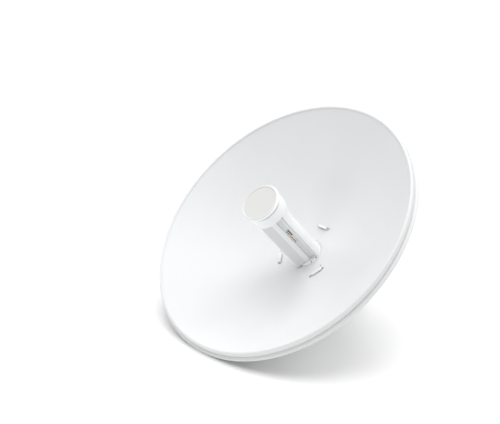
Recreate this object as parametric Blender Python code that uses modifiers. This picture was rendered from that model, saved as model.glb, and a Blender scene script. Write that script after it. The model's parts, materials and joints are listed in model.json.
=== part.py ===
"""Outdoor wireless bridge: a 420 mm dish radio, resting on the rim of its dish and its pole bracket.

Everything is drawn in the dish's own frame and leant back at the end. In that frame X runs across the
dish, Y runs backwards along its axis from the rim plane, and Z runs up. A turned profile is a list of
(radius, depth) points, where depth is Y.
"""

import math

import bmesh
import bpy
from mathutils import Matrix, Vector

# ---- driving dimensions, in metres ------------------------------------------------------------------

GAP = 0.0003  # between pieces that touch
ON_AXIS = 0.0

DISH_R = 0.201  # where the bowl meets its rolled lip
DISH_DEPTH = 0.078
SHEET = 0.0012
HUB_HOLE_R = 0.0226
LIP_R = 0.0025
SKIRT_R = DISH_R + 2 * LIP_R
HEM_R = 0.210
HEM_BACK = 0.0114  # depth of the back of the hem
HEM_TOUCH = HEM_BACK - 0.0006  # depth where the hem's full radius ends, and the floor touches it

SLOT_R = 0.044  # the three bayonet slots around the hub
SLOT_LENGTH = 0.025
SLOT_WIDTH = 0.005
SLOT_ANGLES = (90, -30, -150)

CAP_FRONT = -0.059
CAP_R = 0.0294
CAP_HEIGHT = 0.006
SEAL_THICK = 0.0012
DRUM_R = 0.0278
DRUM_BACK = -0.034
TUBE_R = 0.020
TUBE_WALL = 0.0022
TUBE_BACK = 0.0755
SPIGOT_R = 0.0206
SPIGOT_BACK = 0.108
SHELL_EDGE_Z = 0.002
COVER_BACK = 0.0748

FLANK_TILT = math.radians(21.5)  # how far each flank of the tube cover looks down
FLANK_OUT = 0.01195  # from the tube's axis to the flank's plane
LIGHTS_ALONG = (0.004, 0.033)
LIGHTS_WIDTH = 0.0024
BOARD_SCREWS = [(0.0, -0.0140, 0.0068), (0.0, 0.0650, 0.0068)]
RESET = (0.0, 0.0795, 0.0018)

HOUSING_R = 0.0645
HOUSING_BACK_R = 0.0555
HOUSING_BACK = 0.100
HOUSING_STEP = 0.079  # depth where the housing's wall starts to taper
WALL = 0.0025
SOCKET_R = 0.0212
HOUSING_CLEAR = 0.0008  # behind the dish, whose facets don't line up with the housing's
GASKET_THICK = 0.0012
COVER_FACE = 0.112  # depth of the rear cover's flat back
SCREW_CIRCLE_R = 0.040
SCREW_ANGLES = (45, 135, 225, 315)

PIVOT_Y = 0.1355
PIVOT_Z = 0.010
LOCK_REACH = 0.020  # from the pivot bolt down to the lock bolt
TILT_LIMIT = math.radians(20)
LUG_X = (0.024, 0.030)
CHEEK_X = (0.0306, 0.0366)
PIVOT_BOLT_R = 0.004
LOCK_BOLT_R = 0.003
BOLT_CLEAR = 0.0004

BASE_FRONT = 0.1515
BASE_THICK = 0.005
JAW_BACK = 0.172
JAW_HALF_HEIGHT = 0.035
JAW_THICK = 0.008
NOTCH_HALF = 0.022
NOTCH_DEPTH = 0.014

POLE_R = 0.015  # the pole that the strap is drawn up to
STRAP_THICK = 0.0008
STRAP_WIDTH = 0.0127
WORM_X = 0.0225
WORM_R = 0.0034
WORM_LENGTH = 0.017
WORM_HOUSING = ((0.0166, -0.0075), (0.0275, 0.0075))  # (x, z) corners

BUTTON_DEPTHS = (0.0845, 0.0955)
BUTTON_HEIGHT = 0.014
DOOR_DEPTHS = (0.0826, 0.0985)
DOOR_WIDTH = 0.026
DOOR_PIN = (0.0, 0.0798, -0.0672)
DOOR_PIN_R = 0.0011
DOOR_KNUCKLE_R = 0.0022
DOOR_EAR_X = (0.0085, 0.0115)
GROMMET_DEPTH = 0.0905
GROMMET_R = 0.0042
PORT_WIDTH = 0.020

# ---- where the dish rests --------------------------------------------------------------------------

# The floor touches the back of the hem and the lower back edge of the bracket's jaws.
LEAN = math.atan2(HEM_R - JAW_HALF_HEIGHT, JAW_BACK - HEM_TOUCH)
LIFT = HEM_TOUCH * math.sin(LEAN) + HEM_R * math.cos(LEAN)

WHITE = (0.86, 0.87, 0.88)
WARM_WHITE = (0.84, 0.84, 0.81)
GREY = (0.55, 0.57, 0.59)
DARK = (0.05, 0.05, 0.055)
STEEL = (0.62, 0.63, 0.65)
BOARD = (0.03, 0.16, 0.07)

PARTS = "outdoor_wireless_bridge"
CUTTERS = "cutters"

parents = {}


# ---- tools -----------------------------------------------------------------------------------------


def clear_scene():
    for thing in list(bpy.data.objects):
        bpy.data.objects.remove(thing, do_unlink=True)
    for name in (PARTS, CUTTERS):
        collection = bpy.data.collections.new(name)
        bpy.context.scene.collection.children.link(collection)


def add_object(name, mesh, where=(0, 0, 0), turn=(0, 0, 0), group=PARTS, parent="lean"):
    """Links a mesh as an object placed in the dish's frame, under one of the empties."""
    thing = bpy.data.objects.new(name, mesh)
    bpy.data.collections[group].objects.link(thing)
    thing.rotation_euler = turn
    empty, origin = parents[parent]
    thing.parent = empty
    thing.location = Vector(where) - origin
    if group == CUTTERS:
        thing.hide_render = True
        thing.display_type = "WIRE"
    return thing


def add_empty(name, where, turn=(0, 0, 0), parent=None):
    empty = bpy.data.objects.new(name, None)
    bpy.data.collections[PARTS].objects.link(empty)
    empty.rotation_euler = turn
    if parent:
        empty.parent, origin = parents[parent]
        empty.location = Vector(where) - origin
        parents[name] = (empty, Vector(where))
    else:
        empty.location = where
        parents[name] = (empty, Vector((0, 0, 0)))


def paint(thing, colour, roughness=0.5, metallic=0.0):
    material = bpy.data.materials.new(thing.name)
    material.use_nodes = True
    shader = material.node_tree.nodes["Principled BSDF"]
    shader.inputs["Base Color"].default_value = (*colour, 1.0)
    shader.inputs["Roughness"].default_value = roughness
    shader.inputs["Metallic"].default_value = metallic
    thing.data.materials.append(material)
    return thing


def mesh_from(name, build):
    """A mesh filled in by a function that works on a bmesh."""
    mesh = bpy.data.meshes.new(name)
    work = bmesh.new()
    build(work)
    work.to_mesh(mesh)
    work.free()
    return mesh


def turned(name, profile, steps=36, parent="lean", group=PARTS, closed=True):
    """A profile of (radius, depth) points turned about the dish's axis."""
    area = sum(
        a[0] * b[1] - b[0] * a[1] for a, b in zip(profile, profile[1:] + profile[:1])
    )
    points = profile if area > 0 else profile[::-1]

    def build(work):
        ring = [work.verts.new((radius, 0, -depth)) for radius, depth in points]
        for a, b in zip(ring, ring[1:]):
            work.edges.new((a, b))
        if closed:
            work.edges.new((ring[-1], ring[0]))

    thing = add_object(name, mesh_from(name, build), turn=(math.pi / 2, 0, 0), parent=parent, group=group)
    screw = thing.modifiers.new("turn", "SCREW")
    screw.axis = "Z"
    screw.angle = 2 * math.pi
    screw.steps = steps
    screw.render_steps = steps
    screw.use_merge_vertices = True
    screw.merge_threshold = 0.00001
    screw.use_smooth_shade = True
    return thing


def block(name, low, high, parent="lean", group=PARTS, bevel=0.0):
    """A box between two corners of the dish's frame."""
    low, high = Vector(low), Vector(high)

    def build(work):
        bmesh.ops.create_cube(work, size=1.0, matrix=Matrix.Diagonal((*(high - low), 1.0)))

    thing = add_object(name, mesh_from(name, build), where=(low + high) / 2, parent=parent, group=group)
    if bevel:
        add_bevel(thing, bevel)
    return thing


def add_bevel(thing, width, segments=2):
    bevel = thing.modifiers.new("edges", "BEVEL")
    bevel.width = width
    bevel.segments = segments
    bevel.limit_method = "ANGLE"


def along(direction):
    """The rotation that takes +Z to a direction."""
    return Vector((0, 0, 1)).rotation_difference(Vector(direction)).to_matrix().to_4x4()


def rods(name, places, radius, length, direction, sides=24, parent="lean", group=PARTS):
    """Equal cylinders centred at places, side by side in one object."""

    def build(work):
        for place in places:
            bmesh.ops.create_cone(
                work,
                cap_ends=True,
                segments=sides,
                radius1=radius,
                radius2=radius,
                depth=length,
                matrix=Matrix.Translation(Vector(place) - origin) @ along(direction),
            )

    origin = parents[parent][1]
    thing = add_object(name, mesh_from(name, build), where=origin, parent=parent, group=group)
    thing.data.shade_smooth()
    thing.data.set_sharp_from_angle(angle=math.radians(35))
    return thing


# How an outline drawn in a curve's own XY plane is stood in the dish's frame.
ACROSS_AXIS = (math.pi / 2, 0, 0)  # drawn as (X, Z), thickness along Y
SIDE_ON = (math.pi / 2, 0, math.pi / 2)  # drawn as (Y, Z), thickness along X
FLAT = (0, 0, 0)  # drawn as (X, Y), thickness along Z


def plate(name, outlines, thickness, where, turn, parent="lean", group=PARTS):
    """Flat outlines, the first one outside and the others holes, given a thickness about their plane."""
    curve = bpy.data.curves.new(name, "CURVE")
    curve.dimensions = "2D"
    curve.fill_mode = "BOTH"
    curve.extrude = thickness / 2
    for outline in outlines:
        spline = curve.splines.new("POLY")
        spline.points.add(len(outline) - 1)
        for point, (u, v) in zip(spline.points, outline):
            point.co = (u, v, 0, 1)
        spline.use_cyclic_u = True
    guide = bpy.data.objects.new(name, curve)
    bpy.data.collections[CUTTERS].objects.link(guide)
    bpy.context.view_layer.update()
    evaluated = guide.evaluated_get(bpy.context.evaluated_depsgraph_get())
    mesh = bpy.data.meshes.new_from_object(evaluated)
    bpy.data.objects.remove(guide, do_unlink=True)
    work = bmesh.new()
    work.from_mesh(mesh)
    bmesh.ops.remove_doubles(work, verts=work.verts, dist=0.000001)
    bmesh.ops.recalc_face_normals(work, faces=work.faces)
    work.to_mesh(mesh)
    work.free()
    mesh.name = name
    return add_object(name, mesh, where=where, turn=turn, parent=parent, group=group)


def combine(thing, others, operation):
    for other in others:
        boolean = thing.modifiers.new(other.name, "BOOLEAN")
        boolean.operation = operation
        boolean.solver = "EXACT"
        boolean.object = other


def cut(thing, *cutters):
    combine(thing, cutters, "DIFFERENCE")


def join(thing, *others):
    combine(thing, others, "UNION")


def arc(centre, radius, start, end, steps):
    """Points on a circle between two angles in degrees, both ends included."""
    angles = [math.radians(start + (end - start) * i / steps) for i in range(steps + 1)]
    return [(centre[0] + radius * math.cos(a), centre[1] + radius * math.sin(a)) for a in angles]


# ---- the dish --------------------------------------------------------------------------------------


def bowl_depth(radius):
    return DISH_DEPTH * (1 - (radius / DISH_R) ** 2)


def bowl_back(radius):
    """The point on the back of the sheet behind a radius of the front."""
    slope = 2 * DISH_DEPTH * radius / DISH_R**2
    length = math.hypot(1, slope)
    return (radius + SHEET * slope / length, bowl_depth(radius) + SHEET / length)


def make_reflector():
    steps = 7
    radii = [HUB_HOLE_R + (DISH_R - HUB_HOLE_R) * (i / steps) for i in range(steps + 1)]
    front = [(r, bowl_depth(r)) for r in radii]
    back = [(HUB_HOLE_R, bowl_depth(HUB_HOLE_R) + SHEET)] + [bowl_back(r) for r in radii[1:]]
    middle = DISH_R + LIP_R
    lip = [(middle - u, -v) for u, v in arc((0, 0), LIP_R, 0, 180, 5)][1:]
    hem = [
        (SKIRT_R, 0.0054),
        (SKIRT_R - 0.0004, 0.0061),
        (SKIRT_R + 0.0010, 0.0068),
        (HEM_R - 0.0008, 0.0078),
        (HEM_R, 0.0090),
        (HEM_R, HEM_TOUCH),
        (HEM_R - 0.0010, HEM_BACK),
        (SKIRT_R + 0.0014, HEM_BACK),
        (SKIRT_R - SHEET - 0.0004, 0.0072),
    ]
    inside_lip = [(middle - u, -v) for u, v in arc((0, 0), LIP_R - SHEET, 180, 40, 3)]
    dish = turned("reflector", front + lip + hem + inside_lip + back[::-1], steps=64)
    for number, angle in enumerate(SLOT_ANGLES):
        slot = block(
            f"bayonet_slot_{number}",
            (-SLOT_LENGTH / 2, DISH_DEPTH - 0.02, -SLOT_WIDTH / 2),
            (SLOT_LENGTH / 2, DISH_DEPTH + 0.02, SLOT_WIDTH / 2),
            group=CUTTERS,
        )
        turn_about_axis(slot, SLOT_R, angle)
        cut(dish, slot)
    paint(dish, WHITE, 0.35)


def turn_about_axis(thing, radius, angle):
    """Moves a piece drawn at the axis out to a radius, its own Z pointing outwards."""
    turn = math.radians(90 - angle)
    outwards = Vector((math.sin(turn), 0, math.cos(turn)))
    thing.rotation_euler = (0, turn, 0)
    thing.location += outwards * radius


# ---- the feed --------------------------------------------------------------------------------------


def make_feed_cap():
    front = CAP_FRONT
    back = CAP_FRONT + CAP_HEIGHT
    profile = [
        (ON_AXIS, front + 0.0005),
        (CAP_R - 0.0022, front + 0.0005),
        (CAP_R - 0.0019, front),
        (CAP_R - 0.0008, front + 0.0002),
        (CAP_R, front + 0.0014),
        (CAP_R, back - 0.0010),
        (CAP_R - 0.0008, back),
        (CAP_R - 0.0030, back),
        (CAP_R - 0.0030, front + 0.0025),
        (ON_AXIS, front + 0.0025),
    ]
    paint(turned("feed_cap", profile, parent="feed", closed=False), WARM_WHITE, 0.4)


def make_cap_seal():
    front = CAP_FRONT + CAP_HEIGHT + GAP
    back = front + SEAL_THICK
    profile = [
        (DRUM_R - 0.0020, front),
        (DRUM_R - 0.0009, front),
        (DRUM_R - 0.0009, back),
        (DRUM_R - 0.0020, back),
    ]
    paint(turned("cap_seal", profile, parent="feed"), DARK, 0.7)


def make_feed_tube():
    front = CAP_FRONT + CAP_HEIGHT + GAP + SEAL_THICK + GAP
    wall = TUBE_WALL
    neck_r = DRUM_R - TUBE_R
    neck_length = 0.045
    neck = []
    for i in range(1, 7):
        share = i / 6
        radius = TUBE_R + neck_r * (1 - share) ** 2.2
        neck.append((radius, DRUM_BACK + neck_length * share))
    outside = [(DRUM_R, front), (DRUM_R, DRUM_BACK - 0.001)] + neck
    inside = [(r - wall, depth) for r, depth in outside]
    spigot = [
        (TUBE_R, TUBE_BACK),
        (SPIGOT_R, TUBE_BACK + 0.0006),
        (SPIGOT_R, SPIGOT_BACK - 0.0006),
        (SPIGOT_R - 0.0006, SPIGOT_BACK),
        (SPIGOT_R - wall, SPIGOT_BACK),
        (SPIGOT_R - wall, TUBE_BACK + 0.001),
        (TUBE_R - wall, TUBE_BACK - 0.002),
    ]
    tube = turned("feed_tube", outside + spigot + inside[::-1], parent="feed")
    underside = block(
        "tube_underside",
        (-0.04, DRUM_BACK, -0.04),
        (0.04, TUBE_BACK, SHELL_EDGE_Z),
        parent="feed",
        group=CUTTERS,
    )
    window = block(
        "jack_window",
        (-0.0087, 0.0835, -0.04),
        (0.0087, 0.0985, -0.012),
        parent="feed",
        group=CUTTERS,
    )
    end_wall = make_end_wall()
    cut(tube, underside)
    join(tube, end_wall)
    cut(tube, window)
    paint(tube, WHITE, 0.35)


def make_end_wall():
    """The wall behind the tube cover: it closes the spigot's lower half around the way to the board."""
    rim = SPIGOT_R - TUBE_WALL + 0.0006
    top = math.degrees(math.asin(SHELL_EDGE_Z / rim))
    thick = 0.0014
    outline = arc((0, 0), rim, 180 - top, 360 + top, 24)
    outline += [(0.0112, SHELL_EDGE_Z), (0.0052, -0.0140), (-0.0052, -0.0140), (-0.0112, SHELL_EDGE_Z)]
    return plate(
        "end_wall",
        [outline],
        thick,
        (0, TUBE_BACK + 0.0002 + thick / 2, 0),
        ACROSS_AXIS,
        parent="feed",
        group=CUTTERS,
    )


def flank(out, up):
    """A point of the tube cover's section: out from the tube's axis, and up along the flank."""
    normal = Vector((math.cos(FLANK_TILT), -math.sin(FLANK_TILT)))
    rise = Vector((math.sin(FLANK_TILT), math.cos(FLANK_TILT)))
    return tuple(normal * out + rise * up)


def make_feed_cover():
    wall = 0.0020
    crest = 0.0020
    keel = (0.00245, -0.0255)
    lip_z = SHELL_EDGE_Z - 0.0008
    lip_out = TUBE_R - TUBE_WALL - 0.0010
    lip_height = 0.0034
    outside = [
        keel,
        flank(FLANK_OUT, -0.0098),
        flank(FLANK_OUT + crest, -0.0023),
        flank(FLANK_OUT, -0.0017),
        (0.0133, lip_z),
        (lip_out, lip_z),
        (lip_out, lip_z + lip_height),
    ]
    inside = [
        (lip_out - wall, lip_z + lip_height),
        (lip_out - wall, lip_z + wall),
        (0.0133 - wall, lip_z + wall),
        flank(FLANK_OUT - wall, -0.0017),
        flank(FLANK_OUT - wall, -0.0098),
        (0.0012, keel[1] + wall + 0.0004),
    ]
    half = outside + inside
    outline = half + [(-u, v) for u, v in reversed(half)]
    front = DRUM_BACK + GAP
    length = COVER_BACK - front
    cover = plate(
        "feed_cover",
        [outline],
        length,
        (0, (front + COVER_BACK) / 2, 0),
        ACROSS_AXIS,
        parent="feed",
    )
    window = lights_block("lights_window", LIGHTS_WIDTH + 2 * GAP, 2 * GAP, 0.010, CUTTERS)
    cut(cover, window)
    paint(cover, WHITE, 0.45)


def lights_block(name, width, extra_length, thickness, group):
    """A bar lying in the cover's +X flank beside its ridge, along the tube."""
    first, last = LIGHTS_ALONG
    across = flank(FLANK_OUT - 0.0010, 0.0003)
    size = Vector((thickness, last - first + extra_length, width))

    def build(work):
        bmesh.ops.create_cube(work, size=1.0, matrix=Matrix.Diagonal((*size, 1.0)))

    where = (across[0], (first + last) / 2, across[1])
    return add_object(
        name,
        mesh_from(name, build),
        where=where,
        turn=(0, FLANK_TILT, 0),
        group=group,
        parent="feed",
    )


def make_light_strip():
    strip = lights_block("light_strip", LIGHTS_WIDTH, 0.0, 0.0020, PARTS)
    paint(strip, (0.75, 0.8, 0.78), 0.25)


def make_feed_inside():
    subreflector = turned(
        "subreflector",
        [
            (ON_AXIS, -0.0505),
            (0.006, -0.0505),
            (0.023, -0.0520),
            (0.023, -0.0508),
            (0.006, -0.0490),
            (ON_AXIS, -0.0490),
        ],
        steps=28,
        parent="feed",
        closed=False,
    )
    paint(subreflector, STEEL, 0.3, 1.0)
    horn = turned(
        "feed_horn",
        [(0.0120, -0.0350), (0.0135, -0.0350), (0.0185, -0.0475), (0.0170, -0.0475)],
        steps=28,
        parent="feed",
    )
    paint(horn, STEEL, 0.3, 1.0)
    board = block("radio_board", (-0.0148, -0.0180, 0.0060), (0.0148, 0.0980, 0.0076), parent="feed")
    holes = rods(
        "board_holes", BOARD_SCREWS, 0.0016, 0.01, (0, 0, 1), sides=16, parent="feed", group=CUTTERS
    )
    cut(board, holes)
    paint(board, BOARD, 0.4)
    shield = block("rf_shield", (-0.0110, 0.0050, 0.0079), (0.0110, 0.0520, 0.0119), parent="feed")
    hollow = block(
        "shield_hollow",
        (-0.0105, 0.0055, 0.0070),
        (0.0105, 0.0515, 0.0114),
        parent="feed",
        group=CUTTERS,
    )
    cut(shield, hollow)
    paint(shield, STEEL, 0.35, 1.0)
    jack = block("ethernet_jack", (-0.0080, 0.0842, -0.0155), (0.0080, 0.0977, 0.0057), parent="feed")
    mouth = block(
        "jack_mouth",
        (-0.0058, 0.0868, -0.0200),
        (0.0058, 0.0950, -0.0020),
        parent="feed",
        group=CUTTERS,
    )
    cut(jack, mouth)
    paint(jack, STEEL, 0.3, 1.0)
    switch = block("reset_switch", (-0.0035, 0.0760, 0.0020), (0.0035, 0.0830, 0.0057), parent="feed")
    bore = rods(
        "switch_bore", [RESET], 0.0023, 0.0060, (0, 0, 1), sides=20, parent="feed", group=CUTTERS
    )
    cut(switch, bore)
    paint(switch, DARK, 0.5)
    plug = turned(
        "feed_plug",
        [
            (ON_AXIS, 0.1030),
            (SPIGOT_R - TUBE_WALL - GAP, 0.1030),
            (SPIGOT_R - TUBE_WALL - GAP, 0.1078),
            (ON_AXIS, 0.1078),
        ],
        steps=28,
        parent="feed",
        closed=False,
    )
    paint(plug, GREY, 0.5)
    for number, place in enumerate(BOARD_SCREWS, 1):
        screw = rods(
            f"board_screw_{number}", [place], 0.0013, 0.0050, (0, 0, 1), sides=16, parent="feed"
        )
        head = rods(
            f"board_screw_head_{number}",
            [(place[0], place[1], 0.0090)],
            0.0026,
            0.0020,
            (0, 0, 1),
            sides=16,
            parent="feed",
            group=CUTTERS,
        )
        join(screw, head)
        paint(screw, STEEL, 0.3, 1.0)


def make_reset_button():
    button = rods("reset_button", [RESET], 0.0019, 0.0044, (0, 0, 1), sides=20, parent="reset")
    paint(button, WARM_WHITE, 0.5)


# ---- the rear housing ------------------------------------------------------------------------------


def make_hub_collar():
    profile = [
        (0.0214, 0.0772),
        (0.0222, 0.0772),
        (0.0222, 0.0790),
        (0.0300, 0.0790),
        (0.0300, 0.0804),
        (0.0214, 0.0804),
    ]
    paint(turned("hub_collar", profile), WHITE, 0.5)


def behind_dish(radius):
    """A point just clear of the back of the dish."""
    r, depth = bowl_back(radius)
    return (r, depth + HOUSING_CLEAR)


def taper_radius(depth):
    """The housing's outer radius on its tapered wall."""
    share = (depth - HOUSING_STEP) / (HOUSING_BACK - HOUSING_STEP)
    return HOUSING_R + (HOUSING_BACK_R - HOUSING_R) * share


def screw_places(depth):
    """The centres of the four cover screws at a depth."""
    angles = [math.radians(a) for a in SCREW_ANGLES]
    return [(SCREW_CIRCLE_R * math.cos(a), depth, SCREW_CIRCLE_R * math.sin(a)) for a in angles]


def make_rear_housing():
    front_wall = [behind_dish(r) for r in (0.0310, 0.0450, 0.0600)]
    profile = (
        [(SOCKET_R, 0.0808), (0.0310, 0.0808)]
        + front_wall
        + [
            (HOUSING_R - 0.0015, 0.0722),
            (HOUSING_R, 0.0740),
            (HOUSING_R, HOUSING_STEP),
            (HOUSING_BACK_R, HOUSING_BACK),
            (HOUSING_BACK_R - WALL, HOUSING_BACK),
            (HOUSING_R - WALL, HOUSING_STEP),
            (HOUSING_R - WALL, 0.0765),
        ]
        + [(r, depth + WALL + 0.0006) for r, depth in reversed(front_wall[:2])]
        + [
            (SOCKET_R + WALL, 0.0840),
            (SOCKET_R + WALL, 0.1070),
            (SOCKET_R, 0.1070),
        ]
    )
    housing = turned("rear_housing", profile, steps=40)
    for number, angle in enumerate(SLOT_ANGLES):
        hook = make_hook(f"bayonet_hook_{number}")
        turn_about_axis(hook, SLOT_R, angle)
        join(housing, hook)
    bosses = rods(
        "screw_bosses", screw_places(0.0934), 0.0040, 0.0300, (0, 1, 0), sides=16, group=CUTTERS
    )
    boss_bores = rods(
        "boss_bores", screw_places(0.1050), 0.0018, 0.0200, (0, 1, 0), sides=16, group=CUTTERS
    )
    join(housing, bosses)
    port = block(
        "port_opening",
        (-PORT_WIDTH / 2, 0.0852, -0.080),
        (PORT_WIDTH / 2, 0.0970, -0.012),
        group=CUTTERS,
    )
    cut(housing, boss_bores, port)
    for side in (-1, 1):
        x = sorted((side * 0.045, side * 0.080))
        window = block(
            f"button_window_{side}",
            (x[0], BUTTON_DEPTHS[0] - 0.0005, -BUTTON_HEIGHT / 2 - 0.0005),
            (x[1], BUTTON_DEPTHS[1] + 0.0005, BUTTON_HEIGHT / 2 + 0.0005),
            group=CUTTERS,
        )
        cut(housing, window)
    make_door_ears(housing)
    paint(housing, WHITE, 0.45)


def make_hook(name):
    """A bayonet hook: a post through the dish's slot and a head that grips the dish's face."""
    face = bowl_depth(SLOT_R)
    outline = [
        (-0.0095, face + 0.0060),
        (-0.0095, face - 0.0032),
        (0.0070, face - 0.0032),
        (0.0070, face - 0.0010),
        (-0.0030, face - 0.0010),
        (-0.0030, face + 0.0060),
    ]
    return plate(name, [outline], 0.0032, (0, 0, 0), FLAT, group=CUTTERS)


def make_door_ears(housing):
    """Two ears on the housing that hold the ends of the door's pin."""
    _, y, z = DOOR_PIN
    for side in (-1, 1):
        outline = arc((y, z), DOOR_KNUCKLE_R, 180, 360, 8)
        outline += [(y + DOOR_KNUCKLE_R, z + 0.0045), (y - DOOR_KNUCKLE_R, z + 0.0045)]
        middle = side * (DOOR_EAR_X[0] + DOOR_EAR_X[1]) / 2
        ear = plate(
            f"door_ear_{side}",
            [outline],
            DOOR_EAR_X[1] - DOOR_EAR_X[0],
            (middle, 0, 0),
            SIDE_ON,
            group=CUTTERS,
        )
        join(housing, ear)
    bore = rods("ear_bores", [DOOR_PIN], DOOR_PIN_R + GAP, 0.040, (1, 0, 0), sides=20, group=CUTTERS)
    cut(housing, bore)


def make_port_door():
    """A curved flap over the port, cut out of a turned ring that clears the housing's wall."""
    clear = 0.0004
    thick = 0.0020
    first, last = DOOR_DEPTHS
    ring = [
        (taper_radius(first) + clear, first),
        (taper_radius(first) + clear + thick, first),
        (taper_radius(last) + clear + thick, last),
        (taper_radius(last) + clear, last),
    ]
    door = turned("port_door", ring, steps=80, parent="door")
    extent = block(
        "door_extent",
        (-DOOR_WIDTH / 2, first - 0.01, -0.08),
        (DOOR_WIDTH / 2, last + 0.01, -0.04),
        group=CUTTERS,
    )
    combine(door, [extent], "INTERSECT")
    _, y, z = DOOR_PIN
    inner_end = DOOR_EAR_X[0] - 0.0004
    outline = arc((y, z), DOOR_KNUCKLE_R, 90, 360, 12)
    outline += [(y + 0.0040, z + 0.0012), (y + 0.0040, z + 0.0030), (y + 0.0012, z + 0.0026)]
    knuckle = plate("door_knuckle", [outline], 2 * inner_end, (0, 0, 0), SIDE_ON, group=CUTTERS)
    pin_bore = rods("door_bore", [DOOR_PIN], DOOR_PIN_R + GAP, 0.040, (1, 0, 0), sides=20, group=CUTTERS)
    middle, line = grommet_line()
    cable_hole = rods("cable_hole", [middle], GROMMET_R + GAP, 0.020, line, sides=24, group=CUTTERS)
    join(door, knuckle)
    cut(door, pin_bore, cable_hole)
    paint(door, WHITE, 0.45)
    pin = rods("door_pin", [DOOR_PIN], DOOR_PIN_R, 0.0226, (1, 0, 0), sides=16)
    paint(pin, STEEL, 0.3, 1.0)


def grommet_line():
    """The middle of the cable hole, in the door's thickness, and the way out of it."""
    middle = Vector((0, GROMMET_DEPTH, -(taper_radius(GROMMET_DEPTH) + 0.0014)))
    outwards = Vector((0, HOUSING_R - HOUSING_BACK_R, -(HOUSING_BACK - HOUSING_STEP)))
    return middle, outwards.normalized()


def make_cable_grommet():
    """A blind rubber plug in the door, with a flange outside and a dimple where a cable is cut in."""
    middle, line = grommet_line()
    body = rods("cable_grommet", [middle], GROMMET_R, 0.0046, line, sides=24, parent="door")
    flange = rods(
        "grommet_flange",
        [middle + line * 0.0019],
        GROMMET_R + 0.0012,
        0.0012,
        line,
        sides=24,
        group=CUTTERS,
    )
    dimple = rods(
        "grommet_dimple", [middle + line * 0.0030], 0.0024, 0.0040, line, sides=20, group=CUTTERS
    )
    join(body, flange)
    cut(body, dimple)
    paint(body, DARK, 0.8)


def make_release_buttons():
    half = (BUTTON_DEPTHS[1] - BUTTON_DEPTHS[0]) / 2
    middle = (BUTTON_DEPTHS[1] + BUTTON_DEPTHS[0]) / 2
    proud = 0.0016
    front_r = taper_radius(BUTTON_DEPTHS[0]) + proud
    back_r = taper_radius(BUTTON_DEPTHS[1]) + proud
    for side, name in ((-1, "release_button_left"), (1, "release_button_right")):
        outline = [
            (side * 0.0480, -half),
            (side * (front_r - 0.0008), -half),
            (side * front_r, -half + 0.0012),
            (side * back_r, half - 0.0012),
            (side * (back_r - 0.0008), half),
            (side * 0.0480, half),
        ]
        button = plate(name, [outline], BUTTON_HEIGHT, (0, middle, 0), FLAT)
        add_bevel(button, 0.0006, 1)
        paint(button, GREY, 0.5)


def make_rear_cover():
    front = HOUSING_BACK + GASKET_THICK + 2 * GAP
    profile = [
        (ON_AXIS, COVER_FACE - 0.003),
        (0.0440, COVER_FACE - 0.003),
        (0.0490, front + 0.0035),
        (HOUSING_BACK_R - WALL, front),
        (HOUSING_BACK_R, front),
        (HOUSING_BACK_R - 0.0012, front + 0.0035),
        (HOUSING_BACK_R - 0.0050, front + 0.0075),
        (0.0455, COVER_FACE),
        (ON_AXIS, COVER_FACE),
    ]
    cover = turned("rear_cover", profile, steps=40, closed=False)
    back = [(PIVOT_Y, PIVOT_Z), (PIVOT_Y, PIVOT_Z - LOCK_REACH)]
    lug_r = 0.008
    outline = [(COVER_FACE - 0.0015, PIVOT_Z + 0.0120)]
    outline += arc(back[0], lug_r, 90, 0, 6)
    outline += arc(back[1], lug_r, 0, -90, 6)
    outline += [(COVER_FACE - 0.0015, PIVOT_Z - LOCK_REACH - 0.0120)]
    for side in (-1, 1):
        lug = plate(
            f"tilt_lug_{side}",
            [outline],
            LUG_X[1] - LUG_X[0],
            (side * (LUG_X[0] + LUG_X[1]) / 2, 0, 0),
            SIDE_ON,
            group=CUTTERS,
        )
        join(cover, lug)
    pivot = rods(
        "lug_pivot_bore",
        [(0, *back[0])],
        PIVOT_BOLT_R + BOLT_CLEAR,
        0.080,
        (1, 0, 0),
        group=CUTTERS,
    )
    lock = rods(
        "lug_lock_bore",
        [(0, *back[1])],
        LOCK_BOLT_R + BOLT_CLEAR,
        0.080,
        (1, 0, 0),
        group=CUTTERS,
    )
    screws = rods(
        "cover_bores", screw_places(0.110), 0.0019, 0.020, (0, 1, 0), sides=16, group=CUTTERS
    )
    cut(cover, pivot, lock, screws)
    paint(cover, WHITE, 0.45)


def make_gasket():
    front = HOUSING_BACK + GAP
    back = front + GASKET_THICK
    inner = HOUSING_BACK_R - WALL + 0.0002
    outer = HOUSING_BACK_R - 0.0006
    paint(
        turned("housing_gasket", [(inner, front), (outer, front), (outer, back), (inner, back)]),
        DARK,
        0.8,
    )


def make_cover_screw(number, x, z):
    screw = rods(f"cover_screw_{number}", [(x, 0.1085, z)], 0.0015, 0.012, (0, 1, 0), sides=12)
    head = rods(
        f"cover_screw_head_{number}",
        [(x, COVER_FACE + GAP + 0.0012, z)],
        0.0031,
        0.0024,
        (0, 1, 0),
        sides=16,
        group=CUTTERS,
    )
    socket = rods(
        f"cover_screw_socket_{number}",
        [(x, COVER_FACE + 0.0025, z)],
        0.0014,
        0.0028,
        (0, 1, 0),
        sides=6,
        group=CUTTERS,
    )
    join(screw, head)
    cut(screw, socket)
    paint(screw, STEEL, 0.3, 1.0)


# ---- the pole bracket ------------------------------------------------------------------------------


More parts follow.
